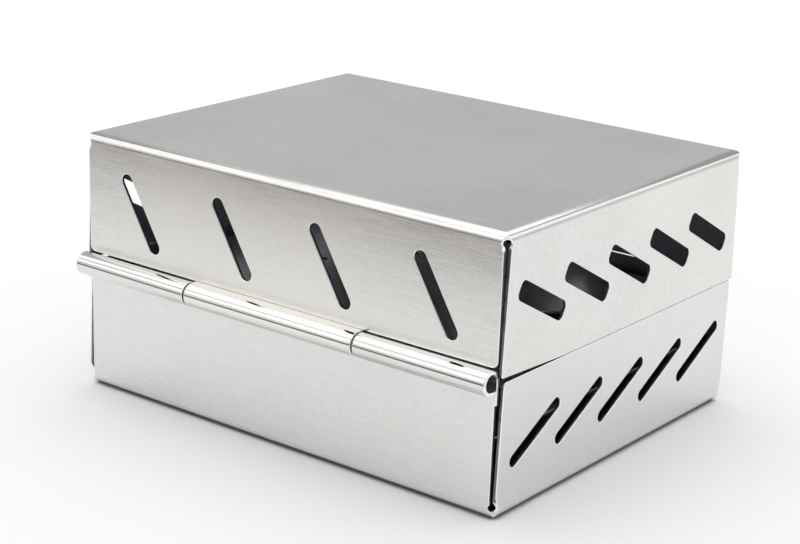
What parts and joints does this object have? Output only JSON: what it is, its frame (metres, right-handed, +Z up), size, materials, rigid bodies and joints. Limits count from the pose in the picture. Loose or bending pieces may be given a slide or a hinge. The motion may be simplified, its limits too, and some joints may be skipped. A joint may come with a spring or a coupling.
{
  "type": "instrument box",
  "caption": "Folded stainless steel sterilising box with a hinged lid, leaning steam slots and a lift-out perforated rack inside.",
  "frame": {"origin": "middle of the base shell's underside, which rests on the table", "axes": "+X along the hinge and the long side, +Y towards the hinge at the back, +Z up"},
  "size_m": [0.1112, 0.0929, 0.0579],
  "materials": {
    "base_steel": "fine brushed, bright",
    "lid_steel": "fine brushed, bright",
    "pin_steel": "drawn wire",
    "rack_steel": "fine brushed",
    "guide_steel": "fine brushed"
  },
  "bodies": {
    "base": {"base_shell": "base_steel", "hinge_pin": "pin_steel"},
    "lid": {"lid_shell": "lid_steel"},
    "rack": {"rack_frame": "rack_steel", "guide_plate": "guide_steel"}
  },
  "joints": [
    {"name": "lid_hinge", "type": "hinge", "parent": "base", "child": "lid", "pos_m": [0, 0.04565, 0.0288], "axis": [-1, 0, 0], "range_deg": [0, 180]},
    {"name": "rack_lift", "type": "slide", "parent": "base", "child": "rack", "axis": [0, 0, 1], "range_m": [0, 0.0275]}
  ]
}
